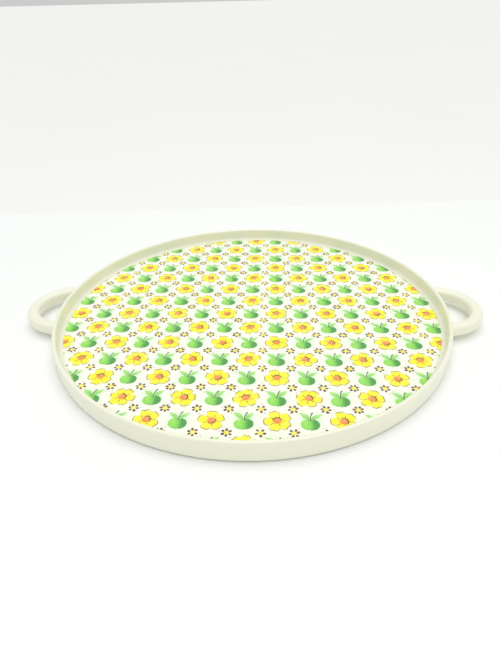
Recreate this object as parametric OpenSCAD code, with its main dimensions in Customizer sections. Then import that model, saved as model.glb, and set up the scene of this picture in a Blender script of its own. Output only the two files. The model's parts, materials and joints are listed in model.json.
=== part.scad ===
// Round serving tray with a low wall, a printed floor and two loop handles.
// Millimetres, +Z up. The origin is the centre of the foot ring, on the surface
// that the tray stands on. The handles lie along X and the user stands at -Y.

/* [Tray] */
// Diameter over the wall
rim_d = 390; // [300:1:480]
// Height of the rim above the table
tray_h = 20; // [16:0.5:36]
// Thickness of the wall, whose top edge is a full round
wall_t = 4; // [3:0.1:6]
// Thickness of the floor between the foot ring and the sheet
floor_t = 3.6; // [2:0.1:6]
// Radius of the cove where the wall meets the floor
cove_r = 3.8; // [1:0.1:6]
// Radius along the bottom outer edge of the wall
skirt_r = 1.2; // [0.5:0.1:1.8]
// Gap between the bottom of the wall and the table
skirt_gap = 1.3; // [0.3:0.1:1.6]

/* [Foot ring] */
// Height of the floor's underside above the table
foot_h = 3; // [1.5:0.1:5]
// Width of the foot ring
foot_w = 4; // [3:0.5:8]
// Distance from the wall's outer face to the foot ring
foot_inset = 7; // [6:0.5:20]
// Radius of the foot ring's two bottom edges
foot_edge_r = 0.8; // [0.3:0.1:1.4]

/* [Printed sheet and film] */
// Thickness of the printed decor sheet
sheet_t = 0.3; // [0.2:0.05:0.8]
// Thickness of the clear film over the sheet
film_t = 0.2; // [0.1:0.05:0.5]
// Gap between the sheet's edge and the edge of its recess
sheet_gap = 0.2; // [0.1:0.05:0.6]

/* [Handles] */
// Radius of the loop's centre line
loop_r = 35.5; // [28:0.5:45]
// How far the loop's centre lies inside the wall's outer face
loop_inset = 5; // [2:0.5:10]
// Width of the bar, seen from above
bar_w = 12; // [8:0.5:14]
// Height of the bar
bar_h = 12; // [7:0.5:14]
// Radius of the bar's long edges, which its own size limits to nearly a half round
bar_edge_r = 4.4; // [1:0.1:6]
// Distance from the top of the rim down to the bar's middle
bar_drop = 9.2; // [6.5:0.1:11]
// Radius where the outside of the bar runs out into the wall
root_r = 12; // [5:0.5:18]
// Depth of the seat that each root has in the wall
seat_depth = 1.6; // [0.8:0.1:2.2]
// Clearance round each root in its seat
seat_gap = 0.05; // [0.02:0.01:0.2]

/* [Hidden] */

rim_r = rim_d / 2;
wall_in_r = rim_r - wall_t;
floor_top = foot_h + floor_t + sheet_t + film_t;
recess_r = wall_in_r - cove_r;
sheet_r = recess_r - sheet_gap;
foot_out_r = rim_r - foot_inset;
loop_x = rim_r - loop_inset;
bar_z = tray_h - bar_drop;
bar_round = min(bar_edge_r, 0.48 * min(bar_w, bar_h));
seat_r = rim_r - seat_depth;
root_edge = bar_h * 0.16;
past = 1;
$fn = 180;

cream = [0.93, 0.93, 0.83];
print_ground = [0.96, 0.92, 0.45];
film_tint = [0.95, 0.98, 0.98, 0.35];

// ---- shell -------------------------------------------------------------

// Wall: a full round along the top and a small radius along the bottom outside.
module wall_section() {
    translate([wall_in_r, floor_top])
        square([wall_t, tray_h - wall_t / 2 - floor_top]);
    translate([wall_in_r + wall_t / 2, tray_h - wall_t / 2])
        circle(d = wall_t);
    translate([wall_in_r, skirt_gap + skirt_r])
        square([wall_t, floor_top - skirt_gap - skirt_r]);
    translate([wall_in_r, skirt_gap])
        square([wall_t - skirt_r, skirt_r]);
    translate([rim_r - skirt_r, skirt_gap + skirt_r])
        circle(r = skirt_r);
}

// Floor, with the shallow recess that the sheet and its film lie in.
module floor_section() {
    difference() {
        translate([0, foot_h])
            square([wall_in_r, floor_top - foot_h]);
        translate([-past, foot_h + floor_t])
            square([recess_r + past, sheet_t + film_t + past]);
    }
}

// Cove in the corner between the floor and the wall.
module cove_section() {
    difference() {
        translate([recess_r, floor_top])
            square(cove_r);
        translate([recess_r, floor_top + cove_r])
            circle(r = cove_r);
    }
}

// Foot ring under the floor, with both of its bottom edges rounded.
module foot_section() {
    foot_in_r = foot_out_r - foot_w;
    translate([foot_in_r, foot_edge_r])
        square([foot_w, foot_h - foot_edge_r]);
    translate([foot_in_r + foot_edge_r, 0])
        square([foot_w - 2 * foot_edge_r, foot_edge_r]);
    for (r = [foot_in_r + foot_edge_r, foot_out_r - foot_edge_r])
        translate([r, foot_edge_r])
            circle(r = foot_edge_r);
}

module tray_shell() {
    color(cream)
        difference() {
            rotate_extrude() {
                wall_section();
                floor_section();
                cove_section();
                foot_section();
            }
            for (side = [-1, 1])
                handle_at(side) loop_outside(seat_r, seat_gap);
        }
}

// ---- handles -----------------------------------------------------------

// Section of the bar: a rectangle with rounded corners.
module bar_section(grow) {
    for (x = [-1, 1], z = [-1, 1])
        translate([x * (bar_w / 2 - bar_round), z * (bar_h / 2 - bar_round)])
            circle(r = bar_round + grow);
    square([bar_w - 2 * bar_round, bar_h + 2 * grow], center = true);
    square([bar_w + 2 * grow, bar_h - 2 * bar_round], center = true);
}

// One ring of bar: the section turned about the loop's centre.
module loop_ring(grow) {
    translate([loop_x, 0, bar_z])
        rotate_extrude()
            translate([loop_r, 0])
                bar_section(grow);
}

// Fillet outline between the outside of the loop and the wall, on the +Y side.
// The fillet's circle touches both of them; shrink draws the outline back.
module root_outline(shrink) {
    out_r = loop_r + bar_w / 2;
    to_loop = out_r + root_r;
    to_tray = rim_r + root_r;
    fx = (to_tray * to_tray - to_loop * to_loop + loop_x * loop_x) / (2 * loop_x);
    fy = sqrt(to_tray * to_tray - fx * fx);
    touch_loop = [loop_x + (fx - loop_x) * out_r / to_loop, fy * out_r / to_loop];
    touch_tray = [fx * seat_r / to_tray, fy * seat_r / to_tray];
    difference() {
        polygon([[loop_x, loop_r], touch_loop, [fx, fy], touch_tray]);
        translate([fx, fy])
            circle(r = root_r + shrink);
    }
}

// Fillet as three layers, the outer two drawn back so that its edges are eased.
module root_fillet(grow) {
    half = bar_h / 2 + grow;
    for (layer = [[0, half - root_edge], [root_edge, half - root_edge / 2],
                  [2 * root_edge, half - root_edge / 8]])
        translate([0, 0, bar_z - layer[1]])
            linear_extrude(height = 2 * layer[1])
                root_outline(layer[0] - grow);
}

// The part of the loop that lies outside the radius inner_r of the tray.
module loop_outside(inner_r, grow) {
    difference() {
        union() {
            loop_ring(grow);
            root_fillet(grow);
            mirror([0, 1, 0]) root_fillet(grow);
        }
        translate([0, 0, -past])
            cylinder(r = inner_r, h = tray_h + 2 * past);
    }
}

// Puts a handle on the +X side, or turns it round to the -X side.
module handle_at(side) {
    rotate([0, 0, side > 0 ? 0 : 180]) children();
}

module left_handle() {
    color(cream) handle_at(-1) loop_outside(seat_r, 0);
}

module right_handle() {
    color(cream) handle_at(1) loop_outside(seat_r, 0);
}

// ---- printed floor -----------------------------------------------------

module decor_sheet() {
    color(print_ground)
        translate([0, 0, foot_h + floor_t])
            cylinder(r = sheet_r, h = sheet_t);
}

module clear_film() {
    color(film_tint)
        translate([0, 0, foot_h + floor_t + sheet_t])
            cylinder(r = sheet_r, h = film_t);
}

tray_shell();
left_handle();
right_handle();
decor_sheet();
clear_film();
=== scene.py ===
# %% [markdown]
# # A round serving tray with a fruit and flower print
#
# This lesson builds the looks of a moulded plastic tray: a low round wall, a loop handle on
# each side, and a printed floor under a clear film. The engineering model fixes every size. The
# first cell loads it and takes the overall sizes from its boxes. The sizes of details that no
# box shows, such as the wall's thickness or the loop's radius, are typed again further down
# and match the model. If one of them changes there, it has to be changed here too.

# %% Load the fixed model
import json
import math
import random
import bmesh
import bpy
from mathutils import Matrix, Vector

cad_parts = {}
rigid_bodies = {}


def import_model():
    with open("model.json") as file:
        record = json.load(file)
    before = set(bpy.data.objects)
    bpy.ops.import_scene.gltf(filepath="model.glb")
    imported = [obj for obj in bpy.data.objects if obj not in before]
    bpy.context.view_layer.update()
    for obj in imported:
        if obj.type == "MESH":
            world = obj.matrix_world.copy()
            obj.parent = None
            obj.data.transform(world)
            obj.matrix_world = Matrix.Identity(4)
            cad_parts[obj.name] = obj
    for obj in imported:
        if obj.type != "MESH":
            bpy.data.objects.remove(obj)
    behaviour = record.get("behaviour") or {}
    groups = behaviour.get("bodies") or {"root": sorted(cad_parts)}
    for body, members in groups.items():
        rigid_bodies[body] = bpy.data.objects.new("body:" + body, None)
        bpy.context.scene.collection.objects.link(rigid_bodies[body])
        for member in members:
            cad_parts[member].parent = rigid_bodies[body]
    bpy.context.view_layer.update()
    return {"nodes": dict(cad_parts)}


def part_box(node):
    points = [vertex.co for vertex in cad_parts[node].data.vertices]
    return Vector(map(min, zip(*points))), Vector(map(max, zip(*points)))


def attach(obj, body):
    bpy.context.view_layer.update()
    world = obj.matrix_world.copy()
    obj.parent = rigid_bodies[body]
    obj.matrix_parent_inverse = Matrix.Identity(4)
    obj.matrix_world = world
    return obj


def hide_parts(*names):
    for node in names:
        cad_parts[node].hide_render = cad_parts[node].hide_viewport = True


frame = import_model()
mm = 0.001

_, shell_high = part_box("tray_shell")
sheet_low, sheet_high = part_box("decor_sheet")
_, film_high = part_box("clear_film")
loop_low, loop_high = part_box("right_handle")

rim_r = shell_high.y
tray_h = shell_high.z
print_r = sheet_high.x
print_z = sheet_high.z
print(f"wall {2 * rim_r / mm:.0f} mm across and {tray_h / mm:.0f} mm high, print {2 * print_r / mm:.0f} mm")

# %% [markdown]
# ## Camera, floor and light first
#
# A camera that is settled before anything else makes every later test render comparable. It
# stands in front of the tray at arm's length, a little to the right of the handles' centre
# line, and looks down at about a third of a right angle. A wide phone-like lens explains why
# the near edge looks so much wider than the far one.

# %% Camera
stand_back = 2.2557 * rim_r
stand_high = 1.4152 * rim_r
step_right = math.radians(2.7)
look_down = math.radians(33.78)
look_left = math.radians(2.97)
tilt = math.radians(-1.39)
lens_mm = 26.9
sensor_mm = 36
nearest_seen = 0.01

camera_data = bpy.data.cameras.new("camera")
camera_data.lens = lens_mm
camera_data.sensor_width = sensor_mm
camera_data.clip_start = nearest_seen
camera = bpy.data.objects.new("camera", camera_data)
bpy.context.scene.collection.objects.link(camera)
camera_place = Vector((stand_back * math.sin(step_right), -stand_back * math.cos(step_right), stand_high))
camera.matrix_world = (
    Matrix.Translation(camera_place)
    @ Matrix.Rotation(look_left, 4, "Z")
    @ Matrix.Rotation(math.radians(90) - look_down, 4, "X")
    @ Matrix.Rotation(tilt, 4, "Z")
)
bpy.context.scene.camera = camera
print("camera stands", [round(c, 3) for c in camera_place], "m from the middle of the tray")


# %% [markdown]
# ## Small helpers for materials
#
# A material is a chain of nodes, and most chains start the same way: a new material, its
# Principled shader, and then nodes wired into it. These helpers keep those lines short. Every
# finish in this lesson reads Object coordinates or the piece's own map, never the camera.

# %% Helpers for materials
def new_material(name, colour, roughness, coat=0.0, coat_roughness=0.1):
    """A material with its shader's constants set on the shader's own sockets."""
    material = bpy.data.materials.new(name)
    material.use_nodes = True
    shader = material.node_tree.nodes["Principled BSDF"]
    shader.inputs["Base Color"].default_value = (*colour, 1)
    shader.inputs["Roughness"].default_value = roughness
    shader.inputs["Coat Weight"].default_value = coat
    shader.inputs["Coat Roughness"].default_value = coat_roughness
    return material, material.node_tree, shader


def add_node(tree, kind, inputs=None, **settings):
    """Adds one node, sets its options, and wires or fills its inputs by name or place."""
    node = tree.nodes.new(kind)
    for key, value in settings.items():
        setattr(node, key, value)
    for key, value in (inputs or {}).items():
        if isinstance(value, bpy.types.NodeSocket):
            tree.links.new(value, node.inputs[key])
        else:
            node.inputs[key].default_value = value
    return node


def math_node(tree, operation, a, b=0.0, c=0.0):
    """One arithmetic step, for materials and for Geometry Nodes alike."""
    return add_node(tree, "ShaderNodeMath", {0: a, 1: b, 2: c}, operation=operation).outputs[0]


def mix_colour(tree, factor, first, second):
    """Mixes two colours or colour sockets."""
    node = add_node(tree, "ShaderNodeMix", {0: factor, 6: first, 7: second}, data_type="RGBA")
    return node.outputs[2]


def noise_range(tree, noise, low, high):
    """Stretches the middle of a noise, from 0.3 to 0.7, over low to high."""
    return add_node(tree, "ShaderNodeMapRange", {0: noise, 1: 0.3, 2: 0.7, 3: low, 4: high}).outputs[0]


def srgb(red, green, blue):
    """A colour as a screen shows it, 0 to 255, turned into the linear numbers that shaders use."""
    def linear(value):
        share = value / 255
        return share / 12.92 if share <= 0.04045 else ((share + 0.055) / 1.055) ** 2.4
    return (linear(red), linear(green), linear(blue))


# %% [markdown]
# ## The pale floor and the lights
#
# The tray lies on white paper, and the edge of a second sheet shows as a faint line behind it. A
# standing backdrop would do for one picture, but it would hide the tray from the back, so both
# sheets lie flat and run to the horizon. Most of the light is even: a bright room all round and
# a wide soft ceiling light, which keep the far paper as pale as the near one. The ceiling light
# comes from slightly behind and to the right, so the outer side of the near wall falls into
# gentle shade. A weak lamp in front lifts that shade, and a weaker one hangs above the tray.

# %% Floor and lights
def stage_material(name, colour):
    """Matt paper with a very faint unevenness."""
    material, tree, shader = new_material(name, colour, 0.7)
    place = add_node(tree, "ShaderNodeTexCoord").outputs["Object"]
    cloud = add_node(tree, "ShaderNodeTexNoise", {"Vector": place, "Scale": 3.0, "Detail": 4.0})
    darker = tuple(0.97 * c for c in colour)
    colour_out = mix_colour(tree, cloud.outputs[0], (*colour, 1), (*darker, 1))
    tree.links.new(colour_out, shader.inputs["Base Color"])
    return material


def stage_plane(name, corners, material):
    """One flat sheet of paper."""
    mesh = bpy.data.meshes.new(name)
    mesh.from_pydata(corners, [], [(0, 1, 2, 3)])
    mesh.materials.append(material)
    plane = bpy.data.objects.new(name, mesh)
    bpy.context.scene.collection.objects.link(plane)


white_paper = stage_material("white_paper", srgb(250, 252, 250))
warm_paper = stage_material("warm_paper", srgb(247, 248, 243))
room = 300.0
floor_z = -0.05 * mm
line_y = 1.72 * rim_r
line_slant = room * math.tan(math.radians(4.0))
line_left = (-room, line_y - line_slant, floor_z)
line_right = (room, line_y + line_slant, floor_z)
near_corners = [(-room, -room, floor_z), (room, -room, floor_z), line_right, line_left]
far_corners = [line_left, line_right, (room, room, floor_z), (-room, room, floor_z)]
stage_plane("near_paper", near_corners, white_paper)
stage_plane("far_paper", far_corners, warm_paper)


def soft_light(name, place, target, size, watts):
    """A round lamp, size metres across, that faces its target."""
    data = bpy.data.lights.new(name, "AREA")
    data.shape = "DISK"
    data.size = size
    data.energy = watts
    light = bpy.data.objects.new(name, data)
    bpy.context.scene.collection.objects.link(light)
    light.location = place
    light.rotation_euler = (Vector(target) - Vector(place)).to_track_quat("-Z", "Y").to_euler()


soft_light("overhead", (0.0, 0.06, 0.8), (0, 0.06, 0), 0.5, 0.2)
soft_light("front_fill", (0.7, -1.4, 1.3), (0, 0, 0), 1.4, 2.2)

ceiling_data = bpy.data.lights.new("ceiling", "SUN")
ceiling_data.energy = 1.25
ceiling_data.angle = math.radians(70)
ceiling = bpy.data.objects.new("ceiling", ceiling_data)
bpy.context.scene.collection.objects.link(ceiling)
ceiling.rotation_euler = (math.radians(-3), math.radians(3), 0)

world = bpy.data.worlds.new("room")
world.use_nodes = True
background = world.node_tree.nodes["Background"]
background.inputs["Color"].default_value = (1.0, 1.0, 1.0, 1)
background.inputs["Strength"].default_value = 0.6
bpy.context.scene.world = world
bpy.context.scene.view_settings.view_transform = "Standard"
print("stage and lights are in place")

# %% [markdown]
# ## Cream moulded plastic
#
# The shell and the loops are one warm, slightly glossy plastic. Real moulded plastic is never
# one flat colour: the pigment clouds a little, the skin has an orange-peel ripple, and its
# sheen changes where cloths and hands have rubbed it. Three noises of different size give
# those three things, all in Object coordinates so that they stay put on the piece.

# %% Cream plastic
def cream_plastic(name, colour, roughness):
    material, tree, shader = new_material(name, colour, roughness, coat=0.25, coat_roughness=0.12)
    shader.inputs["Subsurface Weight"].default_value = 0.06
    shader.inputs["Subsurface Radius"].default_value = (0.004, 0.004, 0.002)
    place = add_node(tree, "ShaderNodeTexCoord").outputs["Object"]
    cloud = add_node(tree, "ShaderNodeTexNoise", {"Vector": place, "Scale": 14.0, "Detail": 3.0})
    warmer = tuple(c * k for c, k in zip(colour, (0.985, 0.975, 0.93)))
    colour_out = mix_colour(tree, cloud.outputs[0], (*colour, 1), (*warmer, 1))
    tree.links.new(colour_out, shader.inputs["Base Color"])
    rub = add_node(tree, "ShaderNodeTexNoise", {"Vector": place, "Scale": 55.0, "Detail": 5.0})
    sheen = noise_range(tree, rub.outputs[0], roughness - 0.05, roughness + 0.08)
    tree.links.new(sheen, shader.inputs["Roughness"])
    ripple = add_node(tree, "ShaderNodeTexNoise", {"Vector": place, "Scale": 900.0, "Detail": 2.0})
    bump = add_node(tree, "ShaderNodeBump",
                    {"Strength": 0.12, "Distance": 0.2 * mm, "Height": ripple.outputs[0]})
    tree.links.new(bump.outputs[0], shader.inputs["Normal"])
    return material


cream = cream_plastic("cream_plastic", srgb(246, 247, 227), 0.34)
print("cream plastic is ready")

# %% [markdown]
# ## Geometry Nodes from a script
#
# Two things on this tray follow a rule: the shell is one outline turned about an axis, and the
# print is one set of drawings laid out on a grid. Geometry Nodes suit both. A tree is built once
# with named inputs, a modifier runs it, and its result is copied out as a plain mesh, because a
# finished piece should not depend on a live modifier.

# %% Helpers for Geometry Nodes
SOCKETS = {"geometry": "NodeSocketGeometry", "object": "NodeSocketObject", "group": "NodeSocketCollection",
           "material": "NodeSocketMaterial", "length": "NodeSocketFloat", "count": "NodeSocketInt"}


def new_tree(name, inputs):
    """A geometry tree, its group-input node and its group-output node."""
    tree = bpy.data.node_groups.new(name, "GeometryNodeTree")
    tree.interface.new_socket("Geometry", in_out="OUTPUT", socket_type=SOCKETS["geometry"])
    for label, kind in inputs:
        tree.interface.new_socket(label, in_out="INPUT", socket_type=SOCKETS[kind])
    return tree, tree.nodes.new("NodeGroupInput"), tree.nodes.new("NodeGroupOutput")


def run_tree(name, tree, values):
    """Runs a tree with the given input values and returns its result as a plain mesh object."""
    carrier = bpy.data.objects.new(name + "_carrier", bpy.data.meshes.new(name + "_carrier"))
    bpy.context.scene.collection.objects.link(carrier)
    modifier = carrier.modifiers.new("lay_out", "NODES")
    modifier.node_group = tree
    sockets = {item.name: item.identifier for item in tree.interface.items_tree if item.in_out == "INPUT"}
    for label, value in values.items():
        modifier[sockets[label]] = value
    bpy.context.view_layer.update()
    seen = carrier.evaluated_get(bpy.context.evaluated_depsgraph_get())
    mesh = bpy.data.meshes.new_from_object(seen, preserve_all_data_layers=True,
                                           depsgraph=bpy.context.evaluated_depsgraph_get())
    mesh.name = name
    bpy.data.objects.remove(carrier)
    piece = bpy.data.objects.new(name, mesh)
    bpy.context.scene.collection.objects.link(piece)
    return piece


# %% [markdown]
# ## The outline of the shell
#
# Turned and moulded round things are drawn as half of their cut face. Going once round the cut:
# along the underside to the foot ring, over its rounded bottom, up into the groove, round the
# skirt, up the wall, over the full round of the rim, down the inside, round the cove, and back
# along the recess that the printed sheet lies in. Each rounded corner is an arc from a formula.

# %% Outline points
wall_t = 4.0 * mm
cove_r = 3.8 * mm
skirt_r = 1.2 * mm
skirt_gap = 1.3 * mm
foot_h = 3.0 * mm
foot_w = 4.0 * mm
foot_inset = 7.0 * mm
foot_edge_r = 0.8 * mm
foot_root_r = 0.6 * mm
steps_round = 288
floor_top = film_high.z
recess_r = rim_r - wall_t - cove_r


def arc(centre, radius, start, stop, steps):
    """Points of an arc, with its angles in degrees, counted from straight out."""
    return [(centre[0] + radius * math.cos(math.radians(start + (stop - start) * k / steps)),
             centre[1] + radius * math.sin(math.radians(start + (stop - start) * k / steps)))
            for k in range(steps + 1)]


foot_out = rim_r - foot_inset
foot_in = foot_out - foot_w
outline = [(0.0, foot_h)]
outline += [(foot_in * share, foot_h) for share in (0.25, 0.5, 0.75, 0.95)]
outline += arc((foot_in - foot_root_r, foot_h - foot_root_r), foot_root_r, 90, 0, 4)
outline += arc((foot_in + foot_edge_r, foot_edge_r), foot_edge_r, 180, 270, 6)
outline += arc((foot_out - foot_edge_r, foot_edge_r), foot_edge_r, 270, 360, 6)
outline += [(foot_out, foot_h), (rim_r - wall_t, foot_h)]
outline += [(rim_r - wall_t, skirt_gap)]
outline += arc((rim_r - skirt_r, skirt_gap + skirt_r), skirt_r, 270, 360, 8)
outline += [(rim_r, tray_h * share) for share in (0.3, 0.5, 0.7)]
outline += arc((rim_r - wall_t / 2, tray_h - wall_t / 2), wall_t / 2, 0, 180, 20)
outline += [(rim_r - wall_t, tray_h * 0.75)]
outline += arc((recess_r, floor_top + cove_r), cove_r, 0, -90, 12)
outline += [(recess_r, sheet_low.z)]
outline += [(recess_r * share, sheet_low.z) for share in (0.75, 0.5, 0.25, 0.0)]
print(f"the outline has {len(outline)} points")


# %% [markdown]
# ## Turning the outline
#
# The Spin tool would do this by hand. In a tree, a grid with one column of points for each step
# round the axis takes its places from the outline: the point's row picks the outline point and
# its column gives the turn. Merging closes the seam and the two ends on the axis.

# %% The turning tree
def turning_tree():
    seam = 0.005 * mm
    tree, given, result = new_tree("turn_outline", [
        ("Outline", "object"), ("Outline points", "count"),
        ("Steps round", "count"), ("Material", "material")])
    steps = given.outputs["Steps round"]
    rows = given.outputs["Outline points"]
    columns = math_node(tree, "ADD", steps, 1)
    grid = add_node(tree, "GeometryNodeMeshGrid", {"Vertices X": columns, "Vertices Y": rows})
    index = add_node(tree, "GeometryNodeInputIndex").outputs[0]
    column = math_node(tree, "FLOOR", math_node(tree, "DIVIDE", index, rows))
    row = math_node(tree, "MODULO", index, rows)
    turn = math_node(tree, "DIVIDE", math_node(tree, "MULTIPLY", column, 2 * math.pi), steps)
    source = add_node(tree, "GeometryNodeObjectInfo", {"Object": given.outputs["Outline"]})
    spot = add_node(tree, "GeometryNodeInputPosition").outputs[0]
    picked = add_node(tree, "GeometryNodeSampleIndex",
                      {"Geometry": source.outputs["Geometry"], "Value": spot, "Index": row},
                      data_type="FLOAT_VECTOR", domain="POINT")
    turned = add_node(tree, "ShaderNodeVectorRotate", {"Vector": picked.outputs["Value"], "Angle": turn},
                      rotation_type="Z_AXIS")
    placed = add_node(tree, "GeometryNodeSetPosition", {"Geometry": grid.outputs["Mesh"],
                                                        "Position": turned.outputs[0]})
    merged = add_node(tree, "GeometryNodeMergeByDistance",
                      {"Geometry": placed.outputs[0], "Distance": seam})
    real = add_node(tree, "GeometryNodeRealizeInstances", {"Geometry": merged.outputs[0]})
    finished = add_node(tree, "GeometryNodeSetMaterial", {"Geometry": real.outputs[0],
                                                          "Material": given.outputs["Material"]})
    tree.links.new(finished.outputs[0], result.inputs[0])
    return tree


def outline_object(name, points):
    """The outline as a line of points in the XZ plane, for the tree to read."""
    mesh = bpy.data.meshes.new(name)
    mesh.from_pydata([(r, 0, z) for r, z in points], [(k, k + 1) for k in range(len(points) - 1)], [])
    return bpy.data.objects.new(name, mesh)


def tidy_mesh(piece, crease_degrees):
    """Points all faces outwards and keeps edges sharper than the given angle crisp."""
    shape = bmesh.new()
    shape.from_mesh(piece.data)
    bmesh.ops.recalc_face_normals(shape, faces=shape.faces)
    for face in shape.faces:
        face.smooth = True
    shape.to_mesh(piece.data)
    shape.free()
    piece.data.set_sharp_from_angle(angle=math.radians(crease_degrees))
    return piece


turn_tree = turning_tree()


def turned_piece(name, profile, steps, material):
    """Turns an outline object about the tray's axis into a finished piece."""
    piece = run_tree(name, turn_tree, {"Outline": profile, "Outline points": len(profile.data.vertices),
                                       "Steps round": steps, "Material": material})
    return tidy_mesh(piece, 35)


shell_outline = outline_object("shell_outline", outline)
shell = turned_piece("moulded_shell", shell_outline, steps_round, cream)
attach(shell, "root")
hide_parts("tray_shell")
print(f"the shell has {len(shell.data.polygons)} faces")

# %% [markdown]
# ## The loop handles
#
# Each loop is a ring of well-rounded bar whose centre lies just inside the wall, so about
# half of the ring shows. Where it meets the wall the bar spreads: the outside runs out in a
# round fillet that touches both the ring and the wall. A plain sweep keeps one section all the
# way, so this one is made in mesh code, where every section can have its own width.

# %% Sizes of the loop
loop_inset = 5.0 * mm
loop_ring_r = 35.5 * mm
bar_w = 12.0 * mm
bar_h = loop_high.z - loop_low.z
bar_z = (loop_high.z + loop_low.z) / 2
root_r = 12.0 * mm
seat_depth = 1.6 * mm
seat_r = rim_r - seat_depth
loop_x = rim_r - loop_inset
ring_out = loop_ring_r + bar_w / 2
ring_in = loop_ring_r - bar_w / 2
to_ring = ring_out + root_r
to_wall = rim_r + root_r
bar_round = 4.4 * mm
fillet_x = (to_wall ** 2 - to_ring ** 2 + loop_x ** 2) / (2 * loop_x) - loop_x
fillet_y = math.sqrt(to_ring ** 2 - fillet_x ** 2)
fillet_angle = math.atan2(fillet_y, fillet_x)
on_wall = rim_r / to_wall
root_angle = math.atan2(fillet_y * on_wall, (loop_x + fillet_x) * on_wall - loop_x)
print(f"bar {bar_w / mm:.1f} by {bar_h / mm:.1f} mm, loop {ring_out / mm:.1f} mm in outside radius")


# %% One loop
def bar_reach(angle):
    """How far the outside of the bar lies from the loop's centre, fillet included."""
    past_touch = angle - fillet_angle
    if past_touch <= 0:
        return ring_out
    aside = min(to_ring * math.sin(past_touch), root_r)
    return to_ring * math.cos(past_touch) - math.sqrt(root_r ** 2 - aside ** 2)


def bar_section(angle, points):
    """One section of bar: a rectangle with rounded corners, kept out of the wall's own middle."""
    half_w = (bar_reach(abs(angle)) - ring_in) / 2
    half_h = bar_h / 2
    section = []
    for k in range(points):
        turn = 2 * math.pi * (k + 0.5) / points
        across = math.copysign(half_w - bar_round, math.cos(turn)) + bar_round * math.cos(turn)
        up = math.copysign(half_h - bar_round, math.sin(turn)) + bar_round * math.sin(turn)
        out = ring_in + half_w + across
        x = loop_x + out * math.cos(angle)
        y = out * math.sin(angle)
        push = max(1.0, seat_r / math.hypot(x, y))
        section.append((x * push, y * push, bar_z + up))
    return section


def loop_handle(name, side):
    """A loop on the +X side (1) or the -X side (-1), with its two ends seated in the wall."""
    stations = 120
    points = 40
    verts = []
    for k in range(stations + 1):
        angle = root_angle * (2 * k / stations - 1)
        verts += [(side * x, side * y, z) for x, y, z in bar_section(angle, points)]
    last = stations * points
    faces = [tuple(range(points)), tuple(last + n for n in range(points))]
    for k in range(0, last, points):
        faces += [(k + n, k + (n + 1) % points, k + points + (n + 1) % points, k + points + n)
                  for n in range(points)]
    mesh = bpy.data.meshes.new(name)
    mesh.from_pydata(verts, [], faces)
    mesh.materials.append(cream)
    piece = bpy.data.objects.new(name, mesh)
    bpy.context.scene.collection.objects.link(piece)
    return tidy_mesh(piece, 50)


for name, node, side in (("left_loop", "left_handle", -1), ("right_loop", "right_handle", 1)):
    loop = loop_handle(name, side)
    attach(loop, "root")
    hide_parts(node)
    print(f"{name}: {len(loop.data.polygons)} faces")

# %% [markdown]
# ## How the print is built up
#
# A printed sheet like this is a stack of inks, one screen after another, and each screen is a
# little out of line with the last. The lesson keeps that order. Every ink is a layer of thin
# flat shapes of its own: the yellow of the petals, the orange eyes, the brown line work, the
# greens of the apples and leaves, and the small blossoms between them. Flat shapes stay crisp
# at any distance, which a painted image of this size would not.
#
# First come the drawings. Each is a closed outline from a formula with a little seeded wobble,
# so that no two petals match, as in work drawn by hand.

# %% Tools for drawing
column_pitch = 25.5 * mm
row_pitch = 26.25 * mm
row_shift = -1.3 * mm
variants = 6
drawings = {}


class Drawing:
    """Flat shapes in millimetres round a cell's middle, with a local map for the material."""

    def __init__(self):
        self.verts = []
        self.faces = []
        self.maps = []

    def points(self, outline, mapped=None):
        """Adds points and says where they start; mapped is their place on the material's own map."""
        start = len(self.verts)
        self.verts += [(x * mm, y * mm, 0.0) for x, y in outline]
        self.maps += mapped or [(x / 10, y / 10) for x, y in outline]
        return start

    def shape(self, outline, mapped=None):
        """Adds a filled outline."""
        start = self.points(outline, mapped)
        self.faces.append(tuple(range(start, len(self.verts))))

    def stroke(self, path, widths):
        """Adds a brush line along a path, as wide at each point as widths says."""
        edges = []
        for k, (x, y) in enumerate(path):
            before = path[max(k - 1, 0)]
            after = path[min(k + 1, len(path) - 1)]
            run = math.hypot(after[0] - before[0], after[1] - before[1])
            half = widths[k] / 2
            nx = (before[1] - after[1]) / run * half
            ny = (after[0] - before[0]) / run * half
            edges += [(x + nx, y + ny), (x - nx, y - ny)]
        start = self.points(edges)
        self.faces += [(start + k + 1, start + k + 3, start + k + 2, start + k)
                       for k in range(0, len(edges) - 2, 2)]

    def keep(self, group, number):
        """Stores the drawing in a collection that the layout tree picks from."""
        mesh = bpy.data.meshes.new(f"{group}_{number}")
        mesh.from_pydata(self.verts, [], self.faces)
        uv = mesh.uv_layers.new(name="drawing")
        for corner in mesh.loops:
            uv.data[corner.index].uv = self.maps[corner.vertex_index]
        if group not in drawings:
            drawings[group] = bpy.data.collections.new(group)
        drawings[group].objects.link(bpy.data.objects.new(f"{group}_{number}", mesh))


def polar(radius_at, points, centre=(0, 0), turn=0.0):
    """A closed outline whose distance from its centre is a function of the angle."""
    steps = [2 * math.pi * k / points for k in range(points)]
    return [(centre[0] + radius_at(a) * math.cos(a + turn), centre[1] + radius_at(a) * math.sin(a + turn))
            for a in steps]


def taper(count, thin, thick):
    """Brush widths that swell from thin to thick and back."""
    return [thin + (thick - thin) * math.sin(math.pi * k / (count - 1)) for k in range(count)]


# %% [markdown]
# ## Drawing the flowers
#
# A flower is one outline with five or six lobes, and its petals are told apart by brown strokes
# that follow the lobes a hair out of register. The orange eye has a heavier stroke on its
# shaded side and a few short rays.

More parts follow.
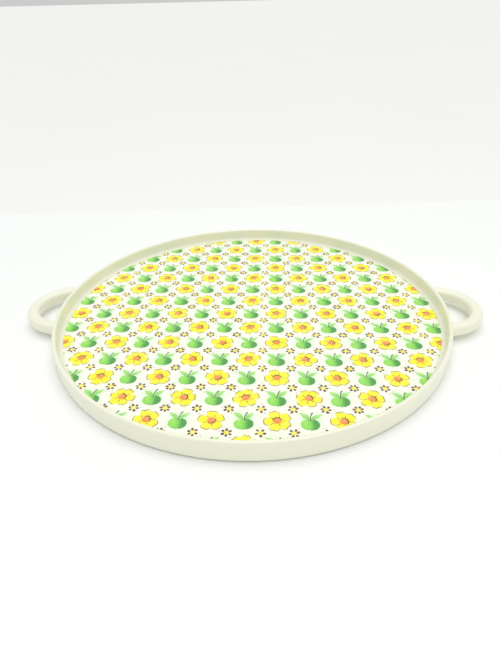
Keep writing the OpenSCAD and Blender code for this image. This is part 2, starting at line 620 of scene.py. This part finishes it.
# %% Flowers
def flower(number):
    dice = random.Random(100 + number)
    petals = (5, 5, 6, 5, 6, 5)[number]
    heading = math.radians(90 + dice.uniform(-20, 20))
    step = 2 * math.pi / petals
    middles = [heading + k * step + dice.uniform(-0.09, 0.09) for k in range(petals)]
    lengths = [11.0 + dice.uniform(-0.8, 0.5) for _ in range(petals)]
    notches = [dice.uniform(0.02, 0.1) for _ in range(petals)]

    def edge(angle):
        gaps = [abs((angle - m + math.pi) % (2 * math.pi) - math.pi) for m in middles]
        k = gaps.index(min(gaps))
        spread = gaps[k] / (step / 2)
        notch = notches[k] * math.exp(-(spread / 0.22) ** 2)
        frill = 0.018 * math.sin(17 * angle + number)
        return lengths[k] * (1 - 0.34 * min(spread, 1.1) ** 3.4 - notch + frill)

    yellow = Drawing()
    yellow.shape(polar(edge, 84))
    yellow.keep("petals", number)

    lines = Drawing()
    slip = (dice.uniform(-0.35, 0.35), dice.uniform(-0.35, 0.35))
    for k, middle in enumerate(middles):
        start = middle + step * dice.uniform(-0.5, -0.3)
        sweep = step * dice.uniform(0.5, 1.0)
        count = 13
        path = []
        for n in range(count):
            angle = start + sweep * n / (count - 1)
            path.append((slip[0] + (edge(angle) + 0.1) * math.cos(angle),
                         slip[1] + (edge(angle) + 0.1) * math.sin(angle)))
        lines.stroke(path, taper(count, 0.16, dice.uniform(0.5, 0.8)))
        between = middle + step / 2
        inner, outer = 4.0, dice.uniform(5.8, 7.6)
        lines.stroke([((inner + (outer - inner) * n / 3) * math.cos(between + 0.02 * n),
                       (inner + (outer - inner) * n / 3) * math.sin(between + 0.02 * n)) for n in range(4)],
                     [0.6, 0.52, 0.4, 0.16])
    lines.keep("petal_lines", number)

    eye = Drawing()
    eye.shape(polar(lambda a: 3.25 + 0.12 * math.sin(3 * a + number), 20))
    eye.keep("eyes", number)

    rim = Drawing()
    shade = dice.uniform(-2.4, 0.4)
    count = 12
    rim.stroke([(3.4 * math.cos(shade + 3.1 * n / (count - 1)), 3.4 * math.sin(shade + 3.1 * n / (count - 1)))
                for n in range(count)], taper(count, 0.2, 1.05))
    for k in range(4):
        ray = shade + 3.1 * (k + dice.uniform(0.1, 0.6)) / 4
        rim.stroke([(r * math.cos(ray), r * math.sin(ray)) for r in (3.5, 4.1, dice.uniform(4.5, 5.4))],
                   [0.5, 0.42, 0.16])
    rim.keep("eye_lines", number)


for number in range(variants):
    flower(number)
print("flowers drawn:", variants)

# %% [markdown]
# ## Drawing the apples
#
# An apple is a broad round with a dimple at each end, a brown stem that bends to the right, a
# dot where the blossom was, and two leaves in a V. The two greens of its cheeks are left to the
# ink's material, which knows where on the apple it is from the drawing's own map.

# %% Apples
def leaf(drawing, root, angle, length, width):
    count = 9
    top, low, top_map, low_map = [], [], [], []
    for n in range(count):
        along = n / (count - 1)
        half = width / 2 * math.sin(math.pi * along ** 0.85) ** 0.9 if 0 < n < count - 1 else 0.0
        for side, points, mapped in ((1, top, top_map), (-1, low, low_map)):
            x, y = length * along, side * half
            points.append((root[0] + x * math.cos(angle) - y * math.sin(angle),
                           root[1] + x * math.sin(angle) + y * math.cos(angle)))
            mapped.append((along, y / width))
    drawing.shape(low + top[-2:0:-1], low_map + top_map[-2:0:-1])


def apple(number):
    dice = random.Random(200 + number)
    lean = math.radians(dice.uniform(-7, 7))
    wide = 7.5 + dice.uniform(-0.35, 0.35)
    tall = 5.8 + dice.uniform(-0.25, 0.25)
    middle = (dice.uniform(-0.4, 0.4), -3.8)

    def body(angle):
        oval = wide * tall / math.hypot(tall * math.cos(angle), wide * math.sin(angle))
        top = 1.0 * math.exp(-((angle - math.pi / 2) / 0.3) ** 2)
        foot = 0.35 * math.exp(-((angle - 1.5 * math.pi) / 0.22) ** 2)
        shoulder = 0.35 * abs(math.sin(2 * angle))
        return oval + shoulder - top - foot

    outline = polar(body, 36, middle, lean)
    green = Drawing()
    green.shape(outline, [((x - middle[0]) / 15, (y - middle[1]) / 15) for x, y in outline])
    green.keep("apples", number)

    leaves = Drawing()
    crown = (middle[0], middle[1] + tall - 0.9)
    leaf(leaves, (crown[0] - 0.3, crown[1] + 0.6), math.radians(134 + dice.uniform(-10, 10)),
         dice.uniform(10.0, 11.6), dice.uniform(4.2, 5.2))
    leaf(leaves, (crown[0] + 0.5, crown[1] + 0.6), math.radians(38 + dice.uniform(-8, 10)),
         dice.uniform(9.8, 11.4), dice.uniform(4.0, 5.2))
    leaves.keep("leaves", number)

    stem = Drawing()
    count = 9
    bend = dice.uniform(0.8, 1.3)
    length = dice.uniform(9.0, 10.6)
    path = []
    for n in range(count):
        along = n / (count - 1)
        path.append((crown[0] + 0.2 + bend * 2.6 * along ** 2.2,
                     crown[1] - 0.6 + length * along * (1 - 0.12 * along)))
    stem.stroke(path, [0.95, 0.78, 0.66, 0.62, 0.64, 0.72, 0.86, 1.05, 1.2])
    dot = (middle[0] + dice.uniform(-1, 0.6), middle[1] - tall - 0.35)
    stem.shape(polar(lambda a: 0.42 + 0.12 * math.sin(a), 8, dot))
    count = 7
    dimple = []
    for n in range(count):
        along = n / (count - 1)
        dimple.append((crown[0] - 2.2 + 4.4 * along, crown[1] + 0.15 - 0.75 * math.sin(math.pi * along)))
    stem.stroke(dimple, taper(count, 0.06, 0.3))
    stem.keep("stems", number)


for number in range(variants):
    apple(number)
print("apples drawn:", variants)


# %% [markdown]
# ## Drawing the small blossoms and specks
#
# Midway between every four cells sits a small blossom: five to seven brown dots round a yellow
# eye.
# Loose specks of the same brown fill the ground, a few to a cell.

# %% Blossoms and specks
def blossom(number):
    dice = random.Random(300 + number)
    heading = dice.uniform(0, 2 * math.pi)
    eye = Drawing()
    eye.shape(polar(lambda a: 2.15 + 0.25 * math.cos(6 * (a - heading)), 24))
    eye.keep("blossom_eyes", number)
    dots = Drawing()
    petals = (6, 6, 5, 6, 6, 7)[number]
    for k in range(petals):
        angle = heading + 2 * math.pi * k / petals + dice.uniform(-0.1, 0.1)
        far = 3.2 + dice.uniform(-0.2, 0.25)
        size = dice.uniform(1.1, 1.4)
        tone = dice.random()
        ring = polar(lambda a, s=size: s * (1 + 0.1 * math.cos(2 * a)), 12,
                     (far * math.cos(angle), far * math.sin(angle)), angle)
        dots.shape(ring, [(tone, 0.5)] * len(ring))
    dots.keep("blossom_dots", number)
    specks = Drawing()
    for k in range(5):
        angle = dice.uniform(0, 2 * math.pi)
        far = dice.uniform(4.9, 7.6)
        size = dice.uniform(0.22, 0.5)
        tone = dice.random()
        dot = polar(lambda a, s=size: s, 7, (far * math.cos(angle), far * math.sin(angle)))
        specks.shape(dot, [(tone, 0.5)] * len(dot))
    specks.keep("specks", number)


for number in range(variants):
    blossom(number)
print("blossoms drawn:", variants)

# %% [markdown]
# ## Laying the drawings out
#
# The print is a grid of upright cells, and apples and flowers take turns like the two colours
# of a chessboard. The tree knows a point's column and row from its index, keeps the cells of
# one colour, and puts a drawing there, picked by the column. Faces that fall wholly outside
# the print's circle are deleted, and points of a drawing that crosses the edge are drawn back
# to it, which cuts the pattern off in a clean round as a real die does.

# %% The layout tree
def layout_tree():
    weld = 0.002 * mm
    tree, given, result = new_tree("lay_out_print", [
        ("Drawings", "group"), ("Columns", "count"), ("Rows", "count"),
        ("Column pitch", "length"), ("Row pitch", "length"),
        ("Shift across", "length"), ("Shift up", "length"),
        ("First colour", "count"), ("Cells per step", "count"), ("Number of drawings", "count"),
        ("Print radius", "length"), ("Height", "length"), ("Thickness", "length"), ("Material", "material")])
    ask = given.outputs
    grid = add_node(tree, "GeometryNodeMeshGrid", {"Vertices X": ask["Columns"], "Vertices Y": ask["Rows"]})
    index = add_node(tree, "GeometryNodeInputIndex").outputs[0]
    half_on = math_node(tree, "ADD", index, 0.5)
    column = math_node(tree, "FLOOR", math_node(tree, "DIVIDE", half_on, ask["Rows"]))
    row = math_node(tree, "SUBTRACT", index, math_node(tree, "MULTIPLY", column, ask["Rows"]))

    def place(step, count, pitch, shift):
        middle = math_node(tree, "DIVIDE", math_node(tree, "SUBTRACT", count, 1), 2)
        return math_node(tree, "MULTIPLY_ADD", math_node(tree, "SUBTRACT", step, middle), pitch, shift)

    spot = add_node(tree, "ShaderNodeCombineXYZ", {
        0: place(column, ask["Columns"], ask["Column pitch"], ask["Shift across"]),
        1: place(row, ask["Rows"], ask["Row pitch"], ask["Shift up"]), 2: ask["Height"]})
    placed = add_node(tree, "GeometryNodeSetPosition", {"Geometry": grid.outputs["Mesh"],
                                                        "Position": spot.outputs[0]})
    colour = math_node(tree, "MODULO", math_node(tree, "ADD", column, row), ask["Cells per step"])
    chosen = math_node(tree, "COMPARE", colour, ask["First colour"], 0.1)
    pick = math_node(tree, "MODULO", column, ask["Number of drawings"])
    library = add_node(tree, "GeometryNodeCollectionInfo", {
        "Collection": ask["Drawings"], "Separate Children": True, "Reset Children": True})
    stamped = add_node(tree, "GeometryNodeInstanceOnPoints", {
        "Points": placed.outputs[0], "Selection": chosen, "Instance": library.outputs[0],
        "Pick Instance": True, "Instance Index": pick})
    real = add_node(tree, "GeometryNodeRealizeInstances", {"Geometry": stamped.outputs[0]})
    position = add_node(tree, "GeometryNodeInputPosition").outputs[0]
    flat = add_node(tree, "ShaderNodeVectorMath", {0: position, 1: (1, 1, 0)}, operation="MULTIPLY")
    reach = add_node(tree, "ShaderNodeVectorMath", {0: flat.outputs[0]}, operation="LENGTH").outputs["Value"]
    outside = math_node(tree, "GREATER_THAN", reach, ask["Print radius"])
    at_points = add_node(tree, "GeometryNodeFieldOnDomain", {0: outside}, domain="POINT", data_type="FLOAT")
    all_outside = add_node(tree, "FunctionNodeCompare", {0: at_points.outputs[0], 1: 0.99},
                           operation="GREATER_THAN")
    kept = add_node(tree, "GeometryNodeDeleteGeometry", {0: real.outputs[0], 1: all_outside.outputs[0]},
                    domain="FACE")
    shrink = math_node(tree, "MINIMUM", math_node(tree, "DIVIDE", ask["Print radius"], reach), 1)
    scale = add_node(tree, "ShaderNodeCombineXYZ", {0: shrink, 1: shrink, 2: 1})
    drawn_back = add_node(tree, "ShaderNodeVectorMath", {0: position, 1: scale.outputs[0]},
                          operation="MULTIPLY")
    trimmed = add_node(tree, "GeometryNodeSetPosition", {"Geometry": kept.outputs[0],
                                                         "Position": drawn_back.outputs[0]})
    upward = add_node(tree, "ShaderNodeCombineXYZ", {2: ask["Thickness"]})
    lifted = add_node(tree, "GeometryNodeExtrudeMesh", {
        "Mesh": trimmed.outputs[0], "Offset": upward.outputs[0], "Offset Scale": 1.0,
        "Individual": False}, mode="FACES")
    underside = add_node(tree, "GeometryNodeFlipFaces", {"Mesh": trimmed.outputs[0]})
    both = add_node(tree, "GeometryNodeJoinGeometry")
    for part in (underside, lifted):
        tree.links.new(part.outputs[0], both.inputs[0])
    closed = add_node(tree, "GeometryNodeMergeByDistance",
                      {"Geometry": both.outputs[0], "Distance": weld})
    real = add_node(tree, "GeometryNodeRealizeInstances", {"Geometry": closed.outputs[0]})
    inked = add_node(tree, "GeometryNodeSetMaterial", {"Geometry": real.outputs[0],
                                                       "Material": ask["Material"]})
    tree.links.new(inked.outputs[0], result.inputs[0])
    return tree


print_tree = layout_tree()
print("the layout tree has", len(print_tree.nodes), "nodes")

# %% [markdown]
# ## The inks
#
# All the inks share one make-up: a colour that a soft noise thins and thickens, as ink does on
# a roller, under the gloss of the film. What differs is how the colour runs over the drawing,
# and that is read from the drawing's own map. Yellow deepens towards a flower's eye, an apple
# turns from a light cheek on its left to a deep one on its right, and a leaf has veins.

# %% Ink make-up
def ink(name, colour_from):
    """An ink whose colour is worked out by colour_from(tree, across, up, cloud)."""
    roughness = 0.3
    material, tree, shader = new_material(name, (0.5, 0.5, 0.5), roughness, coat=0.08, coat_roughness=0.15)
    shader.inputs["Specular IOR Level"].default_value = 0.25
    drawing = add_node(tree, "ShaderNodeUVMap", uv_map="drawing").outputs[0]
    apart = add_node(tree, "ShaderNodeSeparateXYZ", {0: drawing})
    place = add_node(tree, "ShaderNodeTexCoord").outputs["Object"]
    cloud = add_node(tree, "ShaderNodeTexNoise", {"Vector": place, "Scale": 260.0, "Detail": 4.0}).outputs[0]
    colour = colour_from(tree, apart.outputs[0], apart.outputs[1], cloud)
    tree.links.new(colour, shader.inputs["Base Color"])
    sheen = noise_range(tree, cloud, roughness - 0.05, roughness + 0.1)
    tree.links.new(sheen, shader.inputs["Roughness"])
    return material


def ramp(tree, value, low, high):
    """0 below low, 1 above high, and smooth between them."""
    node = add_node(tree, "ShaderNodeMapRange", {0: value, 1: low, 2: high}, interpolation_type="SMOOTHSTEP")
    return node.outputs[0]


def tone(red, green, blue):
    """A screen colour with full opacity, as a mix node takes it."""
    return (*srgb(red, green, blue), 1)


def petal_colour(tree, across, up, cloud):
    far = math_node(tree, "SQRT", math_node(tree, "ADD", math_node(tree, "MULTIPLY", across, across),
                                            math_node(tree, "MULTIPLY", up, up)))
    body = mix_colour(tree, ramp(tree, far, 0.3, 0.62), tone(254, 240, 34), tone(255, 251, 44))
    tips = mix_colour(tree, ramp(tree, far, 0.8, 1.1), body, tone(255, 254, 84))
    return mix_colour(tree, ramp(tree, cloud, 0.42, 0.72), tips, tone(254, 246, 40))


def eye_colour(tree, across, up, cloud):
    body = mix_colour(tree, ramp(tree, up, -0.3, 0.3), tone(248, 148, 72), tone(255, 174, 100))
    return mix_colour(tree, ramp(tree, cloud, 0.45, 0.75), body, tone(240, 130, 58))


def apple_colour(tree, across, up, cloud):
    lean = math_node(tree, "ADD", across, math_node(tree, "MULTIPLY", cloud, 0.18))
    body = mix_colour(tree, ramp(tree, lean, 0.0, 0.36), tone(146, 226, 86), tone(74, 162, 68))
    streak = math_node(tree, "SUBTRACT", 1.0, ramp(tree, math_node(tree, "ABSOLUTE", math_node(
        tree, "ADD", across, 0.26)), 0.02, 0.16))
    lit = math_node(tree, "MULTIPLY", streak, ramp(tree, up, -0.4, 0.2))
    bright = mix_colour(tree, math_node(tree, "MULTIPLY", lit, 0.6), body, tone(178, 242, 112))
    low = ramp(tree, math_node(tree, "MULTIPLY", up, -1.0), 0.2, 0.46)
    return mix_colour(tree, math_node(tree, "MULTIPLY", low, 0.45), bright, tone(78, 168, 70))


def leaf_colour(tree, along, side, cloud):
    off = math_node(tree, "ABSOLUTE", side)
    body = mix_colour(tree, ramp(tree, along, 0.05, 0.9), tone(138, 220, 102), tone(198, 244, 154))
    slant = math_node(tree, "SUBTRACT", along, off)
    vein = ramp(tree, math_node(tree, "SINE", math_node(tree, "MULTIPLY", slant, 44.0)), 0.75, 1.0)
    rib = math_node(tree, "SUBTRACT", 1.0, ramp(tree, off, 0.01, 0.06))
    dark = math_node(tree, "MAXIMUM", rib, math_node(tree, "MULTIPLY", vein, 0.5))
    veined = mix_colour(tree, math_node(tree, "MULTIPLY", dark, 0.55), body, tone(104, 186, 84))
    return mix_colour(tree, ramp(tree, cloud, 0.45, 0.75), veined, tone(166, 232, 122))


def two_tones(first, second):
    """The cloud alone mixes two tones, for line work and small eyes."""
    return lambda tree, across, up, cloud: mix_colour(tree, ramp(tree, cloud, 0.4, 0.65), first, second)


def dot_tones(dark, light):
    """For dots: each dot's own tone sets its place between two browns."""
    def colour(tree, across, up, cloud):
        body = mix_colour(tree, across, dark, light)
        return mix_colour(tree, math_node(tree, "MULTIPLY", cloud, 0.3), body, light)
    return colour


inks = {
    "petals": ink("petal_yellow", petal_colour),
    "eyes": ink("eye_orange", eye_colour),
    "petal_lines": ink("outline_brown", two_tones(tone(112, 80, 16), tone(176, 116, 44))),
    "eye_lines": ink("shadow_brown", two_tones(tone(96, 62, 20), tone(150, 92, 36))),
    "apples": ink("apple_green", apple_colour),
    "leaves": ink("leaf_green", leaf_colour),
    "stems": ink("stem_brown", two_tones(tone(58, 54, 34), tone(104, 96, 64))),
    "blossom_eyes": ink("blossom_yellow", two_tones(tone(252, 240, 70), tone(255, 250, 120))),
    "blossom_dots": ink("blossom_brown", dot_tones(tone(60, 44, 18), tone(146, 106, 66))),
    "specks": ink("speck_brown", dot_tones(tone(110, 84, 60), tone(226, 168, 150))),
}
print("inks:", ", ".join(inks))

# %% [markdown]
# ## Printing
#
# Each ink is one run of the layout tree. The last number says how many ink films lie under it:
# leaves and petals go down first, apples and eyes over them, then the line work.

# %% Print every ink
ink_t = 0.02 * mm
print_margin = 0.05 * mm
cells_across = 17
cells_up = 17
apple_cells = (0, 2, 0.0)
flower_cells = (1, 2, 0.0)
between_cells = (0, 1, 0.5)
layers = (
    ("print_petals", "petals", flower_cells, 0),
    ("print_eyes", "eyes", flower_cells, 1),
    ("print_petal_lines", "petal_lines", flower_cells, 2),
    ("print_eye_lines", "eye_lines", flower_cells, 3),
    ("print_leaves", "leaves", apple_cells, 0),
    ("print_apples", "apples", apple_cells, 1),
    ("print_stems", "stems", apple_cells, 2),
    ("print_blossom_eyes", "blossom_eyes", between_cells, 0),
    ("print_blossom_dots", "blossom_dots", between_cells, 1),
    ("print_specks", "specks", between_cells, 0),
)
for name, group, (first_colour, cells_per_step, half_step), under in layers:
    layer = run_tree(name, print_tree, {
        "Drawings": drawings[group], "Columns": cells_across, "Rows": cells_up,
        "Column pitch": column_pitch, "Row pitch": row_pitch,
        "Shift across": half_step * column_pitch, "Shift up": row_shift + half_step * row_pitch,
        "First colour": first_colour, "Cells per step": cells_per_step, "Number of drawings": variants,
        "Print radius": print_r - print_margin, "Height": print_z + under * ink_t, "Thickness": ink_t,
        "Material": inks[group]})
    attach(layer, "root")
    print(f"{name}: {len(layer.data.polygons)} faces")

# %% [markdown]
# ## The ground of the print
#
# Under the drawings the sheet is ivory, and each apple stands in a soft mint glow, like a wash
# that a brush left. The glow follows the same grid as the drawings, so the
# material works it out from the pitch: the nearest cell, whether that cell holds an apple, and
# how far the point is from its middle.

# %% Ground with mint halos
def print_ground():
    material, tree, shader = new_material("print_ground", srgb(250, 253, 240), 0.3,
                                          coat=0.08, coat_roughness=0.15)
    shader.inputs["Specular IOR Level"].default_value = 0.25
    place = add_node(tree, "ShaderNodeTexCoord").outputs["Object"]
    apart = add_node(tree, "ShaderNodeSeparateXYZ", {0: place})
    across = math_node(tree, "DIVIDE", apart.outputs[0], column_pitch)
    up = math_node(tree, "DIVIDE", math_node(tree, "SUBTRACT", apart.outputs[1], row_shift), row_pitch)
    column = math_node(tree, "ROUND", across)
    row = math_node(tree, "ROUND", up)
    odd = math_node(tree, "PINGPONG", math_node(tree, "ADD", column, row), 1.0)
    off_x = math_node(tree, "SUBTRACT", across, column)
    off_y = math_node(tree, "SUBTRACT", up, row)
    off = math_node(tree, "SQRT", math_node(tree, "ADD", math_node(tree, "MULTIPLY", off_x, off_x),
                                            math_node(tree, "MULTIPLY", off_y, off_y)))
    cloud = add_node(tree, "ShaderNodeTexNoise", {"Vector": place, "Scale": 90.0, "Detail": 4.0}).outputs[0]
    wash = math_node(tree, "SUBTRACT", 1.0, ramp(tree, math_node(tree, "ADD", off, math_node(
        tree, "MULTIPLY", cloud, 0.12)), 0.2, 0.54))
    halo = math_node(tree, "MULTIPLY", wash, math_node(tree, "SUBTRACT", 1.0, odd))
    ivory = mix_colour(tree, ramp(tree, cloud, 0.35, 0.7), tone(252, 253, 240), tone(249, 250, 232))
    colour = mix_colour(tree, halo, ivory, tone(230, 252, 224))
    tree.links.new(colour, shader.inputs["Base Color"])
    tree.links.new(noise_range(tree, cloud, 0.26, 0.38), shader.inputs["Roughness"])
    return material


sheet_node = frame["nodes"]["decor_sheet"]
sheet_node.data.materials.clear()
sheet_node.data.materials.append(print_ground())
print("ground and halos are on the sheet")

# %% [markdown]
# ## The clear film
#
# The film is there to be felt more than seen. A low Alpha lets the print through and leaves a
# thin veil of gloss. It is turned from an outline like the shell, and lies on top of the last
# ink instead of in the same plane, because two faces in one plane hide each other at random.

# %% Clear film
def film_material():
    material, tree, shader = new_material("clear_film", (0.95, 0.97, 0.97), 0.16)
    place = add_node(tree, "ShaderNodeTexCoord").outputs["Object"]
    rub = add_node(tree, "ShaderNodeTexNoise", {"Vector": place, "Scale": 30.0, "Detail": 6.0}).outputs[0]
    tree.links.new(noise_range(tree, rub, 0.015, 0.035), shader.inputs["Alpha"])
    tree.links.new(noise_range(tree, rub, 0.12, 0.24), shader.inputs["Roughness"])
    return material


inks_below = 4.5
film_under = print_z + inks_below * ink_t
film_edge = 0.03 * mm
film_outline = outline_object("film_outline", [
    (0.0, film_under), (print_r, film_under), (print_r, film_high.z - film_edge),
    (print_r - film_edge, film_high.z), (0.0, film_high.z)])
film = turned_piece("clear_cover", film_outline, steps_round, film_material())
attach(film, "root")
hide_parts("clear_film")
print(f"the film is {(film_high.z - film_under) / mm:.2f} mm thick")

# %% [markdown]
# ## Finish
#
# The drawings have done their work and leave the file, and so do the two outlines that were turned.

# %% Clear up and finish
for group in drawings.values():
    for item in list(group.objects):
        bpy.data.objects.remove(item)
    bpy.data.collections.remove(group)
for profile in (shell_outline, film_outline):
    bpy.data.objects.remove(profile)
